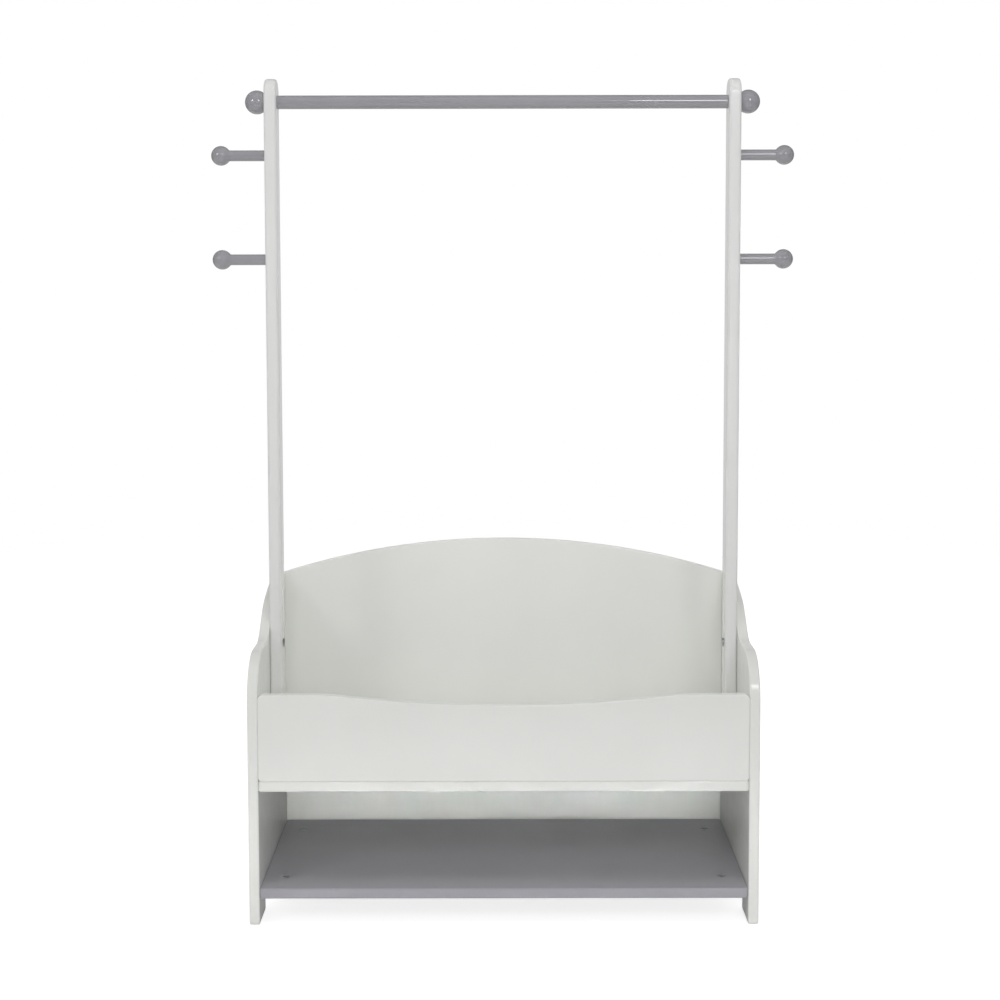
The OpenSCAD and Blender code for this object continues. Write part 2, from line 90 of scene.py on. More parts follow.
# Sprayed two-part lacquer on sanded MDF or turned wood: an even colour with a faint cloudiness
# where the coats lie thicker, and a fine orange peel that breaks up the edges of reflections.
def lacquer(name, tones, gloss, peel, grain=0.0, clear=0.0, uneven=0.03):
    material, tree = newMaterial(name)
    place = addNode(tree, "TexCoord").outputs["Object"]
    cloud = addNode(tree, "TexNoise", {"Vector": place, "Scale": 1 / (pattern["cloud"] * mm),
                                       "Detail": 3.0})
    colour = addNode(tree, "ValToRGB", {"Fac": cloud.outputs["Fac"]},
                     ramp=[(0.30, toLinear(tones[0])), (0.70, toLinear(tones[1]))])
    rub = addNode(tree, "TexNoise", {"Vector": place, "Scale": 1 / (pattern["rubbed patch"] * mm),
                                     "Detail": 4.0})
    rough = addNode(tree, "MapRange", {"Value": rub.outputs["Fac"], "From Min": 0.3,
                                       "From Max": 0.7, "To Min": gloss - uneven,
                                       "To Max": gloss + uneven})
    cells = addNode(tree, "TexNoise", {"Vector": place, "Scale": 1 / (pattern["orange peel"] * mm),
                                       "Detail": 2.0})
    bump = addNode(tree, "Bump", {"Height": cells.outputs["Fac"], "Strength": 0.35,
                                  "Distance": peel * mm})
    if grain:
        # wood under paint: faint ridges along X, which is the rail's and the pegs' length. They
        # lie across the posts.
        along = addNode(tree, "Mapping", {"Vector": place,
                                          "Scale": (pattern["ridge along"], 1, 1)})
        ridges = addNode(tree, "TexNoise", {"Vector": along.outputs["Vector"],
                                            "Scale": 1 / (pattern["ridge"] * mm), "Detail": 2.0})
        bump = addNode(tree, "Bump", {"Height": ridges.outputs["Fac"], "Strength": 0.3,
                                      "Distance": grain * mm, "Normal": bump.outputs["Normal"]})
    paint = addNode(tree, "BsdfPrincipled", {
        "Base Color": colour.outputs["Color"], "Roughness": rough.outputs["Result"], "IOR": 1.5,
        "Coat Weight": clear, "Coat Roughness": 0.05, "Normal": bump.outputs["Normal"]})
    addNode(tree, "OutputMaterial", {"Surface": paint.outputs["BSDF"]})
    return material


# Bare metal parts: die-cast or plated zinc, dull and slightly mottled by handling
def zinc(name, tones, rough, mottle, polished=0.08, dulled=0.10):
    material, tree = newMaterial(name)
    place = addNode(tree, "TexCoord").outputs["Object"]
    spots = addNode(tree, "TexNoise", {"Vector": place, "Scale": 1 / (mottle * mm), "Detail": 5.0})
    colour = addNode(tree, "ValToRGB", {"Fac": spots.outputs["Fac"]},
                     ramp=[(0.35, toLinear(tones[0])), (0.65, toLinear(tones[1]))])
    wear = addNode(tree, "MapRange", {"Value": spots.outputs["Fac"], "To Min": rough - polished,
                                      "To Max": rough + dulled})
    bump = addNode(tree, "Bump", {"Height": spots.outputs["Fac"], "Strength": 0.3,
                                  "Distance": 0.05 * mm})
    metal = addNode(tree, "BsdfPrincipled", {
        "Base Color": colour.outputs["Color"], "Metallic": 1.0,
        "Roughness": wear.outputs["Result"], "Normal": bump.outputs["Normal"]})
    addNode(tree, "OutputMaterial", {"Surface": metal.outputs["BSDF"]})
    return material


# Beech dowels: pale pink-brown with short dark flecks along X, as most of them lie, unfinished
def beech(name, tones):
    material, tree = newMaterial(name)
    place = addNode(tree, "TexCoord").outputs["Object"]
    along = addNode(tree, "Mapping", {"Vector": place, "Scale": (pattern["fleck along"], 1, 1)})
    flecks = addNode(tree, "TexNoise", {"Vector": along.outputs["Vector"],
                                        "Scale": 1 / (pattern["fleck"] * mm), "Detail": 4.0})
    colour = addNode(tree, "ValToRGB", {"Fac": flecks.outputs["Fac"]},
                     ramp=[(0.35, toLinear(tones[0])), (0.60, toLinear(tones[1]))])
    bump = addNode(tree, "Bump", {"Height": flecks.outputs["Fac"], "Strength": 0.4,
                                  "Distance": 0.1 * mm})
    wood = addNode(tree, "BsdfPrincipled", {
        "Base Color": colour.outputs["Color"], "Roughness": 0.62, "IOR": 1.5,
        "Normal": bump.outputs["Normal"]})
    addNode(tree, "OutputMaterial", {"Surface": wood.outputs["BSDF"]})
    return material


# peel and grain are the bumps' heights in millimetres
whiteBoard = lacquer("white lacquered MDF", ("#F2F3EE", "#F6F7F2"), gloss=0.14, peel=0.010)
whitePost = lacquer("white lacquered wood", ("#EBEBEA", "#EFEFEE"), gloss=0.17, peel=0.010,
                    grain=0.006)
greyBoard = lacquer("grey lacquered MDF", ("#9C9BA2", "#A09FA6"), gloss=0.13, peel=0.010)
greyTurned = lacquer("grey lacquered turned wood", ("#929197", "#98979D"), gloss=0.20, peel=0.004,
                     grain=0.002, clear=1.0)
castZinc = zinc("die-cast zinc", ("#9A9A9A", "#C4C4C2"), rough=0.38, mottle=3.0)
platedSteel = zinc("zinc-plated steel", ("#A8A9AB", "#C9CACC"), rough=0.30, mottle=6.0)
bareBeech = beech("bare beech", ("#B98F62", "#D9B88A"))
print("materials ready")

# A piece is made of patches (points, normals, faces): a patch's faces are rows of point numbers,
# seen from outside.
nearlySame = 0.01  # closer than this, two points of an outline or two heights count as one


def ringFaces(rows, columns):
    # squares between neighbouring rings: (k, i), (k, i + 1), (k + 1, i + 1), (k + 1, i)
    k, i = np.meshgrid(np.arange(rows - 1), np.arange(columns), indexing="ij")
    nextI = (i + 1) % columns
    squares = np.stack([k * columns + i, k * columns + nextI,
                        (k + 1) * columns + nextI, (k + 1) * columns + i], axis=-1)
    return squares.reshape(-1, 4)


def unit(vectors):
    return vectors / np.linalg.norm(vectors, axis=-1, keepdims=True)


def arc(centre, radius, start, end, step=3.0, count=None):
    # centre + radius (cos a, sin a), with the angle a going evenly from start to end
    count = count or max(2, math.ceil(abs(end - start) / step)) + 1
    a = np.radians(np.linspace(start, end, count))
    return np.array(centre) + radius * np.stack([np.cos(a), np.sin(a)], axis=1)


def closedOutline(*runs):
    # the runs joined, without the points where one run takes over from another
    points = np.concatenate([np.atleast_2d(run) for run in runs])
    step = np.linalg.norm(np.roll(points, -1, axis=0) - points, axis=1)
    return points[step > nearlySame]


def mitres(outline):
    # outward direction at each corner: both sides' outward normals over 1 + their product,
    # so that going inwards by it keeps every side parallel
    along = unit(np.roll(outline, -1, axis=0) - outline)
    after = np.stack([along[:, 1], -along[:, 0]], axis=1)
    before = np.roll(after, 1, axis=0)
    return (before + after) / (1 + (before * after).sum(axis=1))[:, None]


def roundOver(outline, thickness, radius, steps=6):
    # edge(i, t) = outline(i) - mitre(i) r (1 - sin t), at r (1 - cos t) from the face, with t
    # from 0 to 90 degrees, first up from the lower face and then back over into the upper one
    out = mitres(outline)
    t = np.radians(np.linspace(0, 90, steps + 1))
    inset = radius * (1 - np.sin(t))
    rise = radius * (1 - np.cos(t))
    inset = np.concatenate([inset, inset[::-1]])[:, None, None]
    height = np.concatenate([rise, thickness - rise[::-1]])
    lean = np.concatenate([np.sin(t), np.sin(t)[::-1]])[:, None, None]
    tilt = np.concatenate([-np.cos(t), np.cos(t)[::-1]])
    flat = outline[None] - out[None] * inset
    level = np.broadcast_to(height[:, None, None], flat.shape[:2] + (1,))
    points = np.concatenate([flat, level], axis=2)
    up = np.broadcast_to(tilt[:, None, None], level.shape)
    normals = np.concatenate([unit(out)[None] * lean, up], axis=2)
    return points, normals


def holeWall(place, radius, depth, top, facing, steps=48, rim=0.4, rimSteps=3):
    # a bore with an eased rim: ring(j, a) = place + r(j) (cos a, sin a) at depth d(j), where the
    # first rings follow a quarter circle of the rim's radius and the last lies on the bottom
    t = np.radians(np.linspace(0, 90, rimSteps + 1))
    r = np.append(radius + rim * (1 - np.sin(t)), radius)[:, None]
    d = np.append(rim * (1 - np.cos(t)), depth)[:, None]
    inward = np.append(np.sin(t), 1.0)[:, None]
    outward = np.append(np.cos(t), 0.0)[:, None]
    a = np.linspace(0, 2 * np.pi, steps, endpoint=False)[None] * facing
    points = np.stack([place[0] + r * np.cos(a), place[1] + r * np.sin(a),
                       top - facing * d + 0 * a], axis=2)
    normals = np.stack([-inward * np.cos(a), -inward * np.sin(a),
                        facing * outward + 0 * a], axis=2)
    return points, normals


def insideGrid(outline, holes, pitch, margin):
    # grid points inside the outline by the even-odd rule, and further than the margin from its
    # sides and from every bore
    low, high = outline.min(axis=0), outline.max(axis=0)
    count = np.maximum(2, np.round((high - low) / pitch)).astype(int) + 1
    across, upwards = np.meshgrid(*(np.linspace(a, b, n) for a, b, n in zip(low, high, count)))
    points = np.stack([across.ravel(), upwards.ravel()], axis=1)
    start, side = outline[None], (np.roll(outline, -1, axis=0) - outline)[None]
    step = points[:, None] - start
    share = np.clip((step * side).sum(axis=2) / (side ** 2).sum(axis=2), 0, 1)
    gap = np.linalg.norm(step - share[..., None] * side, axis=2).min(axis=1)
    spans = (step[..., 1] >= 0) != (step[..., 1] >= side[..., 1])
    rise = np.where(side[..., 1] == 0, 1, side[..., 1])
    crossings = (spans & (step[..., 0] < side[..., 0] * step[..., 1] / rise)).sum(axis=1)
    keep = (crossings % 2 == 1) & (gap > margin)
    for u, v, r, _, _ in holes:
        keep &= np.hypot(points[:, 0] - u, points[:, 1] - v) > r + margin
    return points[keep]


def flatFace(rings, holes, facing, pitch=35, margin=9, insideOnly=1, epsilon=1e-5):
    # a flat face of even triangles: Delaunay through its outline, its bores' rims and a grid,
    # without the triangles that lie over a bore
    grid = insideGrid(rings[0][:, :2], holes, pitch, margin)
    level = rings[0][0, 2]
    flat = np.concatenate([*rings, np.column_stack([grid, np.full(len(grid), level)])])
    starts = np.cumsum([0] + [len(ring) for ring in rings])
    edges = [(a + i, a + (i + 1) % (b - a)) for a, b in zip(starts[:-1], starts[1:])
             for i in range(b - a)]
    result = delaunay_2d_cdt([Vector(p) for p in flat[:, :2]], edges,
                             [list(range(len(rings[0])))], insideOnly, epsilon)
    ids = np.array([same[0] for same in result[3]])
    faces = ids[np.array(result[2])]
    middle = flat[faces].mean(axis=1)
    for u, v, r, _, _ in holes:
        faces, middle = (part[np.hypot(middle[:, 0] - u, middle[:, 1] - v) > r]
                         for part in (faces, middle))
    a, b, c = (flat[faces[:, j], :2] for j in range(3))
    turn = (b[:, 0] - a[:, 0]) * (c[:, 1] - a[:, 1]) - (b[:, 1] - a[:, 1]) * (c[:, 0] - a[:, 0])
    wrong = turn * facing < 0
    faces[wrong] = faces[wrong][:, ::-1]
    return flat, np.tile([0.0, 0.0, float(facing)], (len(flat), 1)), faces


def boardPatches(outline, thickness, radius, holes=()):
    # a board lying on w = 0: rounded edges, two flat faces and blind bores. holes are
    # (u, v, radius, depth, facing), with facing 1 for the upper face and -1 for the lower
    points, normals = roundOver(outline, thickness, radius)
    rings, count = points.shape[:2]
    patches = [(points.reshape(-1, 3), normals.reshape(-1, 3), ringFaces(rings, count))]
    for facing in (-1, 1):
        face = [points[-1] if facing > 0 else points[0]]
        bored = [hole for hole in holes if hole[4] == facing]
        for u, v, r, depth, _ in bored:
            top = thickness if facing > 0 else 0.0
            wall, wallNormals = holeWall((u, v), r, depth, top, facing)
            face.append(wall[0])
            patches.append((wall.reshape(-1, 3), wallNormals.reshape(-1, 3),
                            ringFaces(*wall.shape[:2])))
            bottom = wall[-1]
            patches.append((bottom, np.tile([0.0, 0.0, facing], (len(bottom), 1)),
                            np.arange(len(bottom))[None]))
        patches.append(flatFace(face, bored, facing))
    return patches


def lathePatch(profile, steps=96):
    # profile (x, r) turned about the X axis: point(j, a) = (x(j), r(j) cos a, r(j) sin a);
    # a normal is the profile's tangent turned a quarter outwards. Poles are closed by a fan.
    profile = np.array(profile, float)
    along = unit(np.diff(profile, axis=0))
    tangent = np.concatenate([along[:1], along[1:] + along[:-1], along[-1:]])
    slope = unit(np.stack([-tangent[:, 1], tangent[:, 0]], axis=1))
    a = np.linspace(0, 2 * np.pi, steps, endpoint=False)[None]
    x, r = profile[:, :1], profile[:, 1:]
    points = np.stack([x + 0 * a, r * np.cos(a), r * np.sin(a)], axis=2)
    normals = np.stack([slope[:, :1] + 0 * a, slope[:, 1:] * np.cos(a), slope[:, 1:] * np.sin(a)],
                       axis=2)
    return points.reshape(-1, 3), normals.reshape(-1, 3), ringFaces(len(profile), steps)


def turned(profile, crease=30):
    # the profile's faces: a sharper turn than the crease, in degrees, starts a new patch with
    # its own normals
    profile = np.array(profile, float)
    along = unit(np.diff(profile, axis=0))
    bends = np.degrees(np.arccos(np.clip((along[1:] * along[:-1]).sum(axis=1), -1, 1)))
    cuts = [0] + [int(k) + 1 for k in np.flatnonzero(bends > crease)] + [len(profile) - 1]
    return [lathePatch(profile[a:b + 1]) for a, b in zip(cuts[:-1], cuts[1:])]


def placed(patches, axes, origin):
    # puts local (u, v, w) at origin + u axes[0] + v axes[1] + w axes[2]; faces that the axes
    # turn inside out are turned back
    turn = np.array(axes, float)
    flipped = np.linalg.det(turn) < 0
    return [(p @ turn + np.array(origin), n @ turn, f[:, ::-1] if flipped else f)
            for p, n, f in patches]


def makePiece(name, patches, material, replaced, decimals=7):
    # one closed mesh: points that are equal to so many decimals of a metre are merged, and each
    # face keeps its own corners' normals
    points = np.concatenate([p for p, n, f in patches]) * mm
    normals = np.concatenate([n for p, n, f in patches])
    starts = np.cumsum([0] + [len(p) for p, n, f in patches])
    merged, number = np.unique(np.round(points, decimals), axis=0, return_inverse=True)
    number = number.reshape(-1)
    faces, corners = [], []
    for start, (_, _, f) in zip(starts, patches):
        for face in f + start:
            ids = number[face]
            keep = ids != np.roll(ids, 1)
            if keep.sum() > 2:
                faces.append(ids[keep].tolist())
                corners.append(normals[face[keep]])
    mesh = bpy.data.meshes.new(name)
    mesh.from_pydata(merged.tolist(), [], faces)
    mesh.polygons.foreach_set("use_smooth", [True] * len(faces))
    mesh.normals_split_custom_set(np.concatenate(corners).tolist())
    mesh.materials.append(material)
    mesh.update()
    piece = bpy.data.objects.new(name, mesh)
    bpy.context.scene.collection.objects.link(piece)
    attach(piece, "root")
    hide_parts(replaced)


# the boards: the body's outer sizes, and the cams' radius, depth below the middle of a board,
# and distances from a board's end and from its long edges
body = {"width": 730, "depth": 350, "board": 15, "back": 12, "edge": 2.5, "corner": 5}
inner = body["width"] / 2 - body["board"]
front = -body["depth"] / 2
backFace = body["depth"] / 2 - body["back"]
cams = {"radius": 6.2, "below": 4, "inset": 32, "edge": 56}
camX = inner - cams["inset"]
camY = (front + cams["edge"], backFace - cams["edge"])
# degrees between the points of each arc
arcStep = {"corner": 10, "rounded corner": 7.5, "shoulder": 2.5, "crest": 1.5, "back curve": 1,
           "bend": 0.5, "scoop": 0.25, "arch": 0.4, "post top": 3, "rail end": 15}

sidePanel = {"shoulder height": 388, "shoulder radius": 68, "shoulder length": 44,
             "hollow radius": 52, "neck slope": 35, "crest radius": 120, "back slope": 17,
             "back radius": 450, "back corner": 10, "foot": 70, "recess height": 28,
             "recess radius": 12}


def swanNeck(s):
    # shoulder arc, hollow, straight ramp, crest and long back curve, each tangent to the next;
    # the ramp takes the depth that the arcs leave. The back curve's first degree is left out,
    # because its corner ends there.
    sin, cos = (lambda d: math.sin(math.radians(d))), (lambda d: math.cos(math.radians(d)))
    c, depth = body["corner"], body["depth"]
    neckX = s["shoulder radius"] + s["shoulder length"]
    levelX = depth - s["back corner"]
    crestRun = s["crest radius"] * (sin(s["neck slope"]) - sin(s["back slope"]))
    ramp = (levelX - neckX - s["hollow radius"] * sin(s["neck slope"]) - crestRun
            - s["back radius"] * sin(s["back slope"]))
    rise = (s["hollow radius"] * (1 - cos(s["neck slope"]))
            + ramp * math.tan(math.radians(s["neck slope"]))
            + s["crest radius"] * (cos(s["back slope"]) - cos(s["neck slope"]))
            + s["back radius"] * (1 - cos(s["back slope"])))
    top = s["shoulder height"] + rise
    turn = 90 + s["back slope"]
    backCentre = np.array([levelX, top - s["back radius"]])
    crestCentre = (backCentre
                   + (s["back radius"] - s["crest radius"]) * np.array([cos(turn), sin(turn)]))
    r, foot, high = s["recess radius"], s["foot"], s["recess height"]
    outline = closedOutline(
        arc((foot + r, high - r), r, 180, 90, arcStep["rounded corner"]),
        arc((depth - foot - r, high - r), r, 90, 0, arcStep["rounded corner"]),
        arc((depth - foot + c, c), c, 180, 270, arcStep["corner"]),
        arc((depth - c, c), c, 270, 360, arcStep["corner"]),
        arc((levelX, top - s["back corner"]), s["back corner"], 0, 90, arcStep["rounded corner"]),
        arc(backCentre, s["back radius"], 91, turn, arcStep["back curve"]),
        arc(crestCentre, s["crest radius"], turn, 90 + s["neck slope"], arcStep["crest"]),
        arc((neckX, s["shoulder height"] + s["hollow radius"]), s["hollow radius"],
            270 + s["neck slope"], 270, arcStep["shoulder"]),
        arc((s["shoulder radius"], s["shoulder height"] - s["shoulder radius"]),
            s["shoulder radius"], 90, 180, arcStep["shoulder"]),
        arc((c, c), c, 180, 270, arcStep["corner"]),
        arc((foot - c, c), c, 270, 360, arcStep["corner"]))
    return outline, top


sideOutline, sideTop = swanNeck(sidePanel)
for side, word in sides:
    sidePatches = boardPatches(sideOutline, body["board"], body["edge"])
    makePiece("side_panel_%s_board" % word,
              placed(sidePatches, [(0, 1, 0), (0, 0, 1), (side, 0, 0)], (side * inner, front, 0)),
              whiteBoard, "side_panel_" + word)
print("side panels made, back edge at", round(sideTop, 1))

# cams says which face the cams' bores are in: 1 the upper, -1 the lower
shelves = {"bottom_shelf": {"top": 54, "cams": 1, "material": greyBoard, "slot": "grey_paint"},
           "box_floor": {"top": 210, "cams": -1, "material": whiteBoard, "slot": "white_paint"}}


def plate(low, high, corner):
    # a rectangle with its corners rounded
    step = arcStep["corner"]
    return closedOutline(arc((low[0] + corner, low[1] + corner), corner, 180, 270, step),
                         arc((high[0] - corner, low[1] + corner), corner, 270, 360, step),
                         arc((high[0] - corner, high[1] - corner), corner, 0, 90, step),
                         arc((low[0] + corner, high[1] - corner), corner, 90, 180, step))


for node, shelf in shelves.items():
    bores = [(x, y, cams["radius"], body["board"] / 2 + cams["below"], shelf["cams"])
             for x in (-camX, camX) for y in camY]
    outline = plate((-inner, front), (inner, backFace), body["corner"])
    makePiece(node + "_board",
              placed(boardPatches(outline, body["board"], body["edge"], bores),
                     np.eye(3), (0, 0, shelf["top"] - body["board"])),
              shelf["material"], node)

frontPanel = {"bottom": 210, "height": 335, "corner": 8, "scoop": 15.5, "level": 75, "bend": 400,
              "cam": 295}
backPanel = {"bottom": 39, "rise": 54, "cams": (90, 270, sideTop - 40)}


def scoopedOutline(p):
    # level ends, then two bends of one radius and a long hollow between them, all tangent
    c, upper = body["corner"], p["corner"]
    half = inner - p["level"]
    turn = math.degrees(2 * math.atan(p["scoop"] / half))
    hollow = half / math.sin(math.radians(turn)) - p["bend"]
    high = p["height"]
    return closedOutline(
        arc((-inner + c, p["bottom"] + c), c, 180, 270, arcStep["corner"]),
        arc((inner - c, p["bottom"] + c), c, 270, 360, arcStep["corner"]),
        arc((inner - upper, high - upper), upper, 0, 90, arcStep["rounded corner"]),
        arc((half, high - p["bend"]), p["bend"], 90, 90 + turn, arcStep["bend"]),
        arc((0, high - p["scoop"] + hollow), hollow, 270 + turn, 270 - turn, arcStep["scoop"]),
        arc((-half, high - p["bend"]), p["bend"], 90 - turn, 90, arcStep["bend"]),
        arc((-inner + upper, high - upper), upper, 90, 180, arcStep["rounded corner"]))


def archedOutline(p):
    # straight sides under one arc through both top corners and the middle
    c = body["corner"]
    radius = (inner ** 2 + p["rise"] ** 2) / (2 * p["rise"])
    turn = math.degrees(math.asin((inner - c) / radius))
    return closedOutline(
        arc((-inner + c, p["bottom"] + c), c, 180, 270, arcStep["corner"]),
        arc((inner - c, p["bottom"] + c), c, 270, 360, arcStep["corner"]),
        [[inner, sideTop]],
        arc((0, sideTop + p["rise"] - radius), radius, 90 - turn, 90 + turn, arcStep["arch"]),
        [[-inner, sideTop]])


standing = [(1, 0, 0), (0, 0, 1), (0, -1, 0)]  # width, height, and from the back to the front
frontBores = [(x, frontPanel["cam"], cams["radius"], body["board"] / 2 + cams["below"], -1)
              for x in (-camX, camX)]
makePiece("front_panel_board",
          placed(boardPatches(scoopedOutline(frontPanel), body["board"], body["edge"], frontBores),
                 standing, (0, front + body["board"], 0)),
          whiteBoard, "front_panel")
backBores = [(x, h, cams["radius"], body["back"] / 2 + cams["below"], -1)
             for x in (-camX, camX) for h in backPanel["cams"]]
makePiece("back_panel_board",
          placed(boardPatches(archedOutline(backPanel), body["back"], body["edge"], backBores),
                 standing, (0, body["depth"] / 2, 0)),
          whiteBoard, "back_panel")
print("shelves and panels made")

# the round-over stops at the saw cut, and the levels are extra points up the long edges
post = {"thickness": 18, "depth": 45, "edge": 4.5, "foot": 210, "top": 1217, "setback": 150,
        "saw cut": 0.6, "levels": (60, 200, 400, 600)}
postY = front + post["setback"] + post["depth"] / 2
postIn = inner - post["thickness"]


def postOutline(p):
    # up one edge, half a circle over the top and down the other edge
    half = p["depth"] / 2
    rise = np.array([0.0, p["saw cut"], *p["levels"]])
    up = np.stack([np.full(len(rise), half), p["foot"] + rise], axis=1)
    return closedOutline(up, arc((0, p["top"] - half), half, 0, 180, arcStep["post top"]),
                         up[::-1] * (-1, 1))


for side, word in sides:
    patches = boardPatches(postOutline(post), post["thickness"], post["edge"])
    for points, _, _ in patches:
        # the foot is sawn square
        low = points[:, 1] < post["foot"] + post["edge"] + nearlySame
        cut = np.abs(points[:, 1] - post["foot"] - post["saw cut"]) < nearlySame
        points[low & ~cut, 1] = post["foot"]
    makePiece("post_%s_bar" % word,
              placed(patches, [(0, 1, 0), (0, 0, 1), (side, 0, 0)], (side * postIn, postY, 0)),
              whitePost, "post_" + word)

rail = {"height": 1183, "diameter": 20, "ease": 0.8}
half, ease = rail["diameter"] / 2, rail["ease"]
railProfile = np.concatenate([
    [[-postIn, 0.0]],
    arc((-postIn + ease, half - ease), ease, 180, 90, arcStep["rail end"]),
    arc((postIn - ease, half - ease), ease, 90, 0, arcStep["rail end"]),
    [[postIn, 0.0]]])
makePiece("hanging_rail_bar",
          placed(turned(railProfile), np.eye(3), (0, postY, rail["height"])),
          greyTurned, "hanging_rail")

# a ball with a flat where it meets the post: seat is from the flat to the ball's middle, ease is
# what is broken off the flat's edge, and clear the degrees of the ball that go with it
knob = {"diameter": 35, "seat": 12, "ease": 0.6, "clear": 1.5, "points": 49}
r, seat = knob["diameter"] / 2, knob["seat"]
edgeAngle = 180 - math.degrees(math.acos(seat / r))
knobProfile = np.concatenate([
    [[0.0, 0.0], [0.0, r * math.sin(math.radians(edgeAngle)) - knob["ease"]]],
    arc((seat, 0), r, edgeAngle - knob["clear"], 0, count=knob["points"])])

# a stem that swells through a small fillet into the ball
peg = {"diameter": 16, "ball": 29, "reach": 66, "fillet": 3, "ease": 0.5, "points": 49,
       "fillet points": 8, "heights": {"upper": 1105, "lower": 952}}
stem, ball, fillet, reach = peg["diameter"] / 2, peg["ball"] / 2, peg["fillet"], peg["reach"]
back = math.sqrt((ball + fillet) ** 2 - (stem + fillet) ** 2)
meet = math.degrees(math.atan2(stem + fillet, -back))
pegProfile = np.concatenate([
    [[0.0, 0.0], [0.0, stem - peg["ease"]], [peg["ease"], stem]],
    arc((reach - back, stem + fillet), fillet, 270, 180 + meet, count=peg["fillet points"]),
    arc((reach, 0), ball, meet, 0, count=peg["points"])[1:]])

for side, word in sides:
    outwards = [(side, 0, 0), (0, 1, 0), (0, 0, 1)]
    makePiece("rail_knob_%s_ball" % word,
              placed(turned(knobProfile), outwards, (side * inner, postY, rail["height"])),
              greyTurned, "rail_knob_" + word)
    for level, height in peg["heights"].items():
        makePiece("%s_peg_%s_turned" % (level, word),
                  placed(turned(pegProfile), outwards, (side * inner, postY, height)),
                  greyTurned, "%s_peg_%s" % (level, word))
print("posts, rail and pegs made")

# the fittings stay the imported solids, with their own finishes
fittings = {
    castZinc: ("bottom_shelf_cams", "box_floor_cams", "front_panel_cams", "back_panel_cams"),
    platedSteel: ("cam_bolts", "post_bolts", "post_inserts", "rail_studs", "peg_studs"),
    bareBeech: ("wooden_dowels",)}
for finish, nodes in fittings.items():
    for node in nodes:
        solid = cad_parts[node]
        solid.data.materials.clear()
        solid.data.materials.append(finish)
print("fittings finished")

# the floor starts to fade at solid from the middle, and at fade it has gone into the backdrop
floor = {"radius": 6.0, "corners": 96, "solid": 1.2, "fade": 4.5, "tone": 0.86, "glow": 0.75,
         "glow given": 0.01}


def makeFloor(p):
    # a plain pale disc that fades into the backdrop with distance from the unit
    a = np.linspace(0, 2 * np.pi, p["corners"], endpoint=False)
    ring = np.stack([np.cos(a), np.sin(a), 0 * a], axis=1) * p["radius"]
    mesh = bpy.data.meshes.new("floor")
    mesh.from_pydata(ring.tolist(), [], [list(range(p["corners"]))])
    material, tree = newMaterial("pale studio floor")
    place = addNode(tree, "TexCoord").outputs["Object"]
    distance = addNode(tree, "VectorMath", {0: place}, operation="LENGTH")
    fade = addNode(tree, "MapRange", {"Value": distance.outputs["Value"], "From Min": p["solid"],
                                      "From Max": p["fade"]}, interpolation_type="SMOOTHSTEP")
    matt = addNode(tree, "BsdfDiffuse", {"Color": grey(p["tone"])})
    # a lit white cove looks brighter than what it gives back, so its glow is for the eye alone
    seen = addNode(tree, "LightPath").outputs["Is Camera Ray"]
    strength = addNode(tree, "MapRange", {"Value": seen, "To Min": p["glow given"],
                                          "To Max": p["glow"]})
    glow = addNode(tree, "Emission", {"Color": grey(1.0), "Strength": strength.outputs["Result"]})
    lit = addNode(tree, "AddShader", {0: matt.outputs[0], 1: glow.outputs[0]})
    clear = addNode(tree, "BsdfTransparent")
    both = addNode(tree, "MixShader", {0: fade.outputs["Result"], 1: lit.outputs[0],
                                       2: clear.outputs[0]})
    addNode(tree, "OutputMaterial", {"Surface": both.outputs[0]})
    mesh.materials.append(material)
    disc = bpy.data.objects.new("floor", mesh)
    bpy.context.scene.collection.objects.link(disc)


makeFloor(floor)

# Two small soft boxes give the highlights and the shadows. The rest only fill: one under the
# camera, a gridded strip along the floor, gridded spots into the shelf space and on the back
# panel, one overhead, one at each side and two behind. A photographer's flats would not show as
# highlights, so reflections leave these out. Powers are in watts, and spread is the grid's angle.
lights = {
    "left box": {"at": (-2.05, -2.15, 1.95), "size": (0.60, 0.60), "power": 10.5},
    "right box": {"at": (0.90, -2.70, 1.90), "size": (0.60, 0.60), "power": 10.5},
    "camera fill": {"at": (0, -2.95, 0.86), "size": (0.7, 0.25), "power": 5.2,
                    "target": (0, 0, 0.6), "fill": True},
    "floor strip": {"at": (0, -3.2, 0.10), "size": (1.6, 0.12), "power": 0.24,
                    "target": (0, 0, 0.10), "spread": 10, "fill": True},
    "shelf spot": {"at": (0, -3.2, 0.05), "size": (0.62, 0.06), "power": 0.09,
                   "target": (0, 0, 0.125), "spread": 3, "fill": True},
    "wall spot": {"at": (0, -2.6, 2.0), "size": (0.8, 0.3), "power": 0.20,
                  "target": (0, 0.16, 0.66), "spread": 20, "fill": True},
    "top front": {"at": (0, -0.9, 2.6), "size": (1.8, 0.8), "power": 12.0,
                  "target": (0, 0.1, 0.4), "fill": True},
    "left side": {"at": (-3.0, -0.6, 0.8), "size": (1.5, 1.2), "power": 6.0,
                  "target": (0, 0, 0.6), "fill": True},
    "right side": {"at": (3.0, -0.6, 0.8), "size": (1.5, 1.2), "power": 5.0,
                   "target": (0, 0, 0.6), "fill": True},
    "back left": {"at": (-2.3, 2.3, 1.5), "size": (1.2, 1.2), "power": 19.0,
                  "target": (0, 0, 0.6), "fill": True},
    "back right": {"at": (2.3, 2.3, 1.5), "size": (1.2, 1.2), "power": 19.0,
                   "target": (0, 0, 0.6), "fill": True}}
boxTarget = (0, 0, 0.5)
openSpread = 180
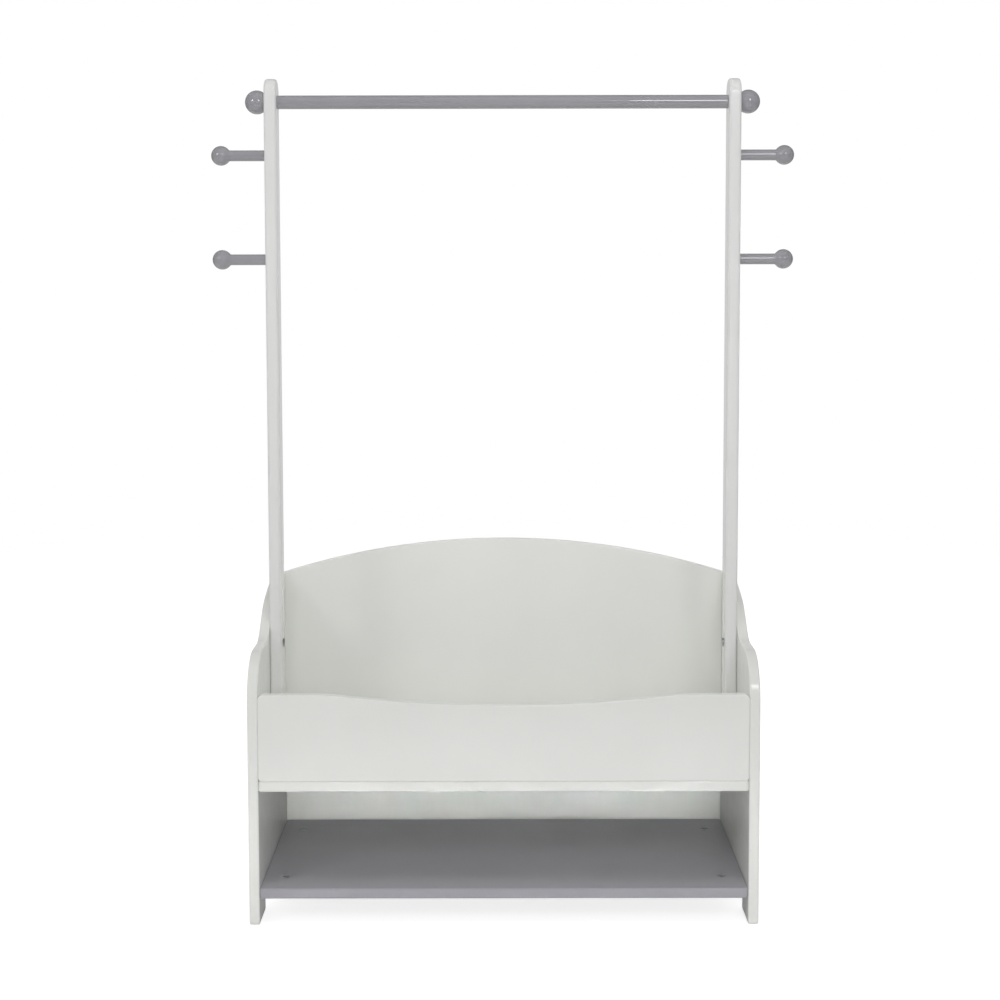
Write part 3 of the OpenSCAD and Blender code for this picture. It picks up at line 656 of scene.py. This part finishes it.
for name, light in lights.items():
    data = bpy.data.lights.new(name, "AREA")
    data.shape = "RECTANGLE"
    data.size, data.size_y = light["size"]
    data.energy = light["power"]
    data.spread = math.radians(light.get("spread", openSpread))
    lamp = bpy.data.objects.new(name, data)
    bpy.context.scene.collection.objects.link(lamp)
    lamp.location = light["at"]
    aim = Vector(light.get("target", boxTarget)) - lamp.location
    lamp.rotation_euler = aim.to_track_quat("-Z", "Y").to_euler()
    lamp.visible_glossy = not light.get("fill", False)
    lamp.visible_camera = False

# The backdrop is plain white to the eye, and lights the unit less than that. Reflections see it
# straight behind the unit only, because black flags at the sides darken the turned pieces' rims:
# opening is how nearly straight back a reflection goes (as a cosine) at the flags' soft edge.
backdrop = {"seen": 1.0, "ambient": 0.22, "behind": 0.60, "flags": 0.06, "opening": (0.90, 0.98)}


def makeBackdrop(p):
    world = bpy.data.worlds.new("studio")
    bpy.context.scene.world = world
    world.use_nodes = True
    tree = world.node_tree
    tree.nodes.clear()
    rays = addNode(tree, "LightPath")
    towards = addNode(tree, "SeparateXYZ", {0: addNode(tree, "TexCoord").outputs["Generated"]})
    mirrored = addNode(tree, "MapRange", {
        "Value": towards.outputs["Y"], "From Min": p["opening"][0], "From Max": p["opening"][1],
        "To Min": p["flags"], "To Max": p["behind"]})
    ambient = addNode(tree, "MapRange", {"Value": rays.outputs["Is Glossy Ray"],
                                         "To Min": p["ambient"],
                                         "To Max": mirrored.outputs["Result"]})
    strength = addNode(tree, "MapRange", {"Value": rays.outputs["Is Camera Ray"],
                                          "To Min": ambient.outputs["Result"],
                                          "To Max": p["seen"]})
    sky = addNode(tree, "Background", {"Color": grey(1.0),
                                       "Strength": strength.outputs["Result"]})
    addNode(tree, "OutputWorld", {"Surface": sky.outputs[0]})


makeBackdrop(backdrop)
bpy.context.scene.view_settings.view_transform = "Standard"
bpy.context.scene.view_settings.gamma = 1.25  # opens the shade as the photograph does

# from the photograph's lines: where it stood, how it was turned and rolled, in degrees, and its
# focal length in pixels of the picture
shot = {"at": (-0.0031, -2.75, 0.9322), "down": 4.72, "aside": -0.03, "roll": -0.10,
        "focal": 1843.9, "picture": 1000, "sensor": 36, "shift": -0.075}


def makeCamera(p):
    # looks along (sin aside cos down, cos aside cos down, -sin down), rolled about that line
    down, aside, roll = (math.radians(p[k]) for k in ("down", "aside", "roll"))
    forward = Vector((math.sin(aside) * math.cos(down), math.cos(aside) * math.cos(down),
                      -math.sin(down)))
    right = Vector((math.cos(aside), -math.sin(aside), 0))
    up = right.cross(forward)
    across = right * math.cos(roll) + up * math.sin(roll)
    upright = up * math.cos(roll) - right * math.sin(roll)
    data = bpy.data.cameras.new("camera")
    data.sensor_width = p["sensor"]
    data.lens = p["sensor"] * p["focal"] / p["picture"]
    data.shift_y = p["shift"]
    camera = bpy.data.objects.new("camera", data)
    bpy.context.scene.collection.objects.link(camera)
    turn = Matrix((across, upright, -forward)).transposed().to_4x4()
    camera.matrix_world = Matrix.Translation(p["at"]) @ turn
    bpy.context.scene.camera = camera


makeCamera(shot)
print("stage, lights and camera ready")
